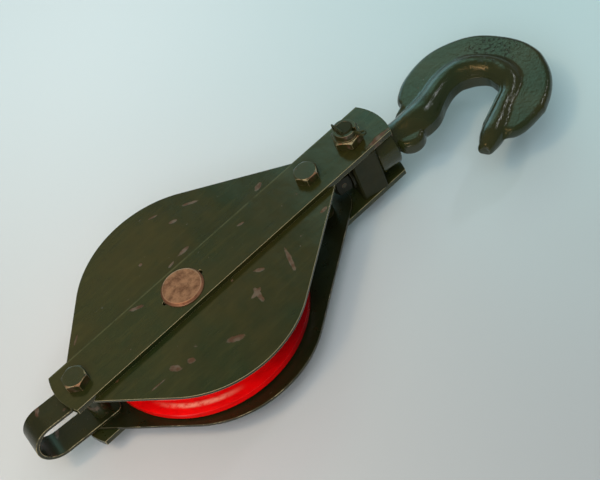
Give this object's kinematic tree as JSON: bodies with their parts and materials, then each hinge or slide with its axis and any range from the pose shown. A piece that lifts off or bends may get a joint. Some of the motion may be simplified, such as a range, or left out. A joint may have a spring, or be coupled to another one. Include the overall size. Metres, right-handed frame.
{
  "type": "pulley block",
  "caption": "Rope pulley block lying on its side: grooved sheave between cheek plates and strap bars, a U becket at one end and a forged swivel hook in a tilting crosshead at the other.",
  "frame": {"origin": "middle of the axle, halfway between the cheeks", "axes": "+X along the straps towards the hook, +Z along the axle towards the bolt heads, +Y across the straps"},
  "size_m": [0.3622, 0.1414, 0.0644],
  "materials": {
    "strap_paint": "glossy olive green paint, worn bright along the near edge",
    "cheek_paint": "glossy olive green paint with scuffs",
    "axle_steel": "bare steel with a copper tint",
    "sheave_paint": "glossy red paint",
    "bush_bronze": "turned bronze",
    "fastener_paint": "olive green paint, worn to copper tones on the corners",
    "becket_paint": "glossy olive green paint, worn pink at the bend",
    "crosshead_paint": "dark olive green paint",
    "hook_paint": "thick glossy olive green paint over a rough forging",
    "pin_steel": "plated steel"
  },
  "bodies": {
    "block": {"front_strap": "strap_paint", "rear_strap": "strap_paint", "front_cheek": "cheek_paint", "rear_cheek": "cheek_paint", "axle": "axle_steel", "head_bolt": "fastener_paint", "head_bolt_spacer": "fastener_paint", "head_bolt_washer": "fastener_paint", "head_bolt_nut": "fastener_paint", "becket_bolt": "fastener_paint", "becket_bolt_spacer": "fastener_paint", "becket_bolt_washer": "fastener_paint", "becket_bolt_nut": "fastener_paint"},
    "wheel": {"sheave": "sheave_paint", "sheave_bush": "bush_bronze"},
    "becket": {"becket": "becket_paint"},
    "crosshead": {"crosshead": "crosshead_paint", "front_trunnion_nut": "fastener_paint", "rear_trunnion_nut": "fastener_paint", "front_split_pin": "pin_steel", "rear_split_pin": "pin_steel"},
    "hook": {"hook": "hook_paint", "hook_washer": "pin_steel", "hook_nut": "pin_steel", "hook_nut_pin": "pin_steel"}
  },
  "joints": [
    {"name": "sheave_spin", "type": "hinge", "parent": "block", "child": "wheel", "pos_m": [0, 0, 0], "axis": [0, 0, 1], "continuous": true},
    {"name": "becket_pivot", "type": "hinge", "parent": "block", "child": "becket", "pos_m": [-0.07484, 0, 0], "axis": [0, 0, 1], "range_deg": [-102, 112]},
    {"name": "crosshead_tilt", "type": "hinge", "parent": "block", "child": "crosshead", "pos_m": [0.1256, 0, 0], "axis": [0, 0, 1], "range_deg": [-28, 48]},
    {"name": "hook_swivel", "type": "hinge", "parent": "crosshead", "child": "hook", "pos_m": [0.1256, 0, 0], "axis": [0.9848, -0.1736, 0], "continuous": true}
  ]
}
